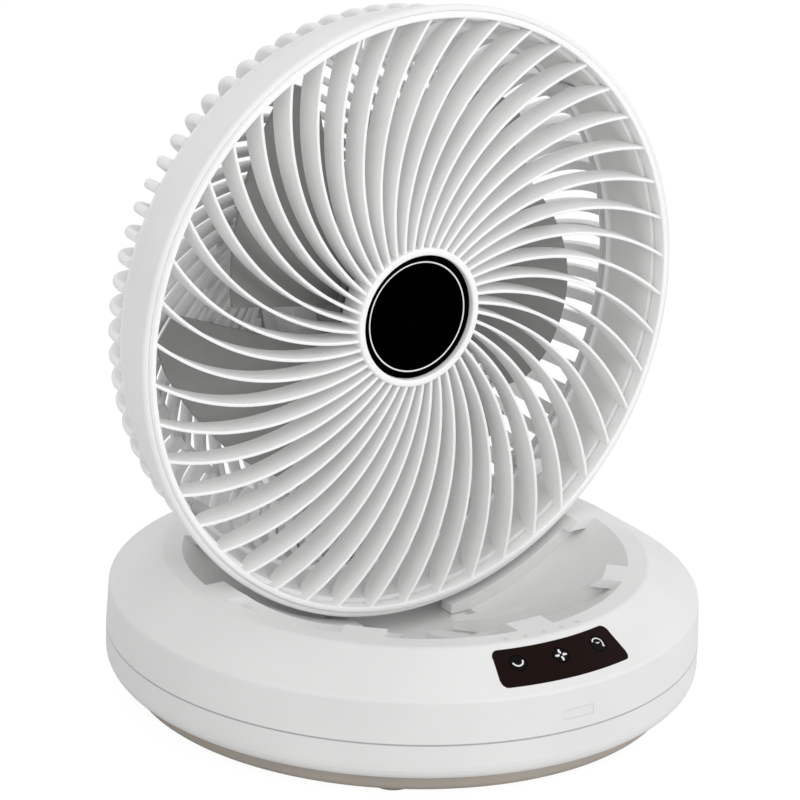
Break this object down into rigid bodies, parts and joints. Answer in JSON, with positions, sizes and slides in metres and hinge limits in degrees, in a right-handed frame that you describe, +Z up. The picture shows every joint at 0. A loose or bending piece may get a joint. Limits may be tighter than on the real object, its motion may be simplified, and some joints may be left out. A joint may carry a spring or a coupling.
{
  "type": "folding table fan",
  "caption": "Folding table fan: a round base that turns on its foot, touch keys on the sloping front, a swing arm and a round head behind a swept-vane grille.",
  "frame": {"origin": "centre of the footprint, on the table", "axes": "+Z up, the front of the fan faces -Y, +X to the right as seen from the front"},
  "size_m": [0.2308, 0.22, 0.2583],
  "materials": {
    "shell_white": "fine matte, off white",
    "grille_white": "satin, off white",
    "guard_white": "fine matte, off white",
    "foot_grey": "fine matte, warm grey",
    "gear_cream": "smooth moulded, cream",
    "pad_rubber": "soft, dark grey",
    "panel_black": "polished, near black",
    "badge_black": "polished, black",
    "button_black": "polished, near black",
    "wheel_grey": "satin, dark grey",
    "steel": "plated, fine brushed",
    "bracket_steel": "stamped, plated",
    "motor_can": "drawn can, plated",
    "winding": "enamelled copper wire",
    "rotor_iron": "ground, dark grey",
    "board_green": "solder mask, green",
    "switch_black": "fine matte, black",
    "washer_black": "smooth nylon, black",
    "light_lens": "milky, clear coat",
    "window_lens": "smoked, polished",
    "cell_wrap": "metal can in a blue wrap",
    "holder_black": "moulded, black",
    "socket_steel": "drawn shell, plated"
  },
  "bodies": {
    "foot": {"foot_disc": "foot_grey", "foot_pads": "pad_rubber", "gear_sector": "gear_cream", "swivel_ring": "gear_cream", "swivel_washer": "steel", "swivel_screw": "steel"},
    "base": {"lower_shell": "shell_white", "upper_shell": "shell_white", "base_screws": "steel", "control_panel": "panel_black", "control_board": "board_green", "tact_switches": "switch_black", "indicator_lights": "light_lens", "receiver_window": "window_lens", "charge_port": "socket_steel", "battery_cells": "cell_wrap", "battery_holders": "holder_black", "turning_motor": "motor_can", "hinge_bracket": "bracket_steel", "hinge_screws": "steel", "base_hinge_pin": "steel", "lower_friction_washers": "washer_black"},
    "pinion": {"drive_pinion": "gear_cream"},
    "oscillate_button": {"button_oscillate": "button_black"},
    "speed_button": {"button_speed": "button_black"},
    "timer_button": {"button_timer": "button_black"},
    "arm": {"swing_arm": "shell_white", "arm_cover": "shell_white"},
    "head": {"head_bracket": "bracket_steel", "head_hinge_pin": "steel", "upper_friction_washers": "washer_black", "outer_band": "shell_white", "front_grille": "grille_white", "hub_badge": "badge_black", "rear_guard": "guard_white", "head_screws": "steel", "motor_housing": "shell_white", "motor_stator": "winding", "motor_bearings": "steel"},
    "wheel": {"motor_rotor": "rotor_iron", "motor_shaft": "steel", "fan_wheel": "wheel_grey", "wheel_nut": "steel"}
  },
  "joints": [
    {"name": "base_turn", "type": "hinge", "parent": "foot", "child": "base", "pos_m": [0, 0, 0.0119], "axis": [0, 0, 1], "range_deg": [-45, 45]},
    {"name": "pinion_turn", "type": "hinge", "parent": "base", "child": "pinion", "pos_m": [-0.066, 0, 0.009], "axis": [0, 0, 1], "range_deg": [-375.1, 375.1]},
    {"name": "oscillate_press", "type": "slide", "parent": "base", "child": "oscillate_button", "axis": [0.0972, 0.5349, -0.8393], "range_m": [0, 0.0006], "stiffness_N_per_m": 800, "springref_m": -0.0002},
    {"name": "speed_press", "type": "slide", "parent": "base", "child": "speed_button", "axis": [0, 0.5436, -0.8393], "range_m": [0, 0.0006], "stiffness_N_per_m": 800, "springref_m": -0.0002},
    {"name": "timer_press", "type": "slide", "parent": "base", "child": "timer_button", "axis": [-0.0972, 0.5349, -0.8393], "range_m": [0, 0.0006], "stiffness_N_per_m": 800, "springref_m": -0.0002},
    {"name": "arm_fold", "type": "hinge", "parent": "base", "child": "arm", "pos_m": [0, 0.057, 0.034], "axis": [1, 0, 0], "range_deg": [0, 92.07]},
    {"name": "head_fold", "type": "hinge", "parent": "arm", "child": "head", "pos_m": [0, 0.063, 0.11687], "axis": [1, 0, 0], "range_deg": [-182.08, 0]},
    {"name": "wheel_spin", "type": "hinge", "parent": "head", "child": "wheel", "pos_m": [0, 0.0165, 0.1429], "axis": [0, 1, 0], "continuous": true}
  ],
  "couplings": [
    {"joint": "pinion_turn", "follows": "base_turn", "ratio": -8.3333},
    {"joint": "head_fold", "follows": "arm_fold", "ratio": -1.9775}
  ]
}
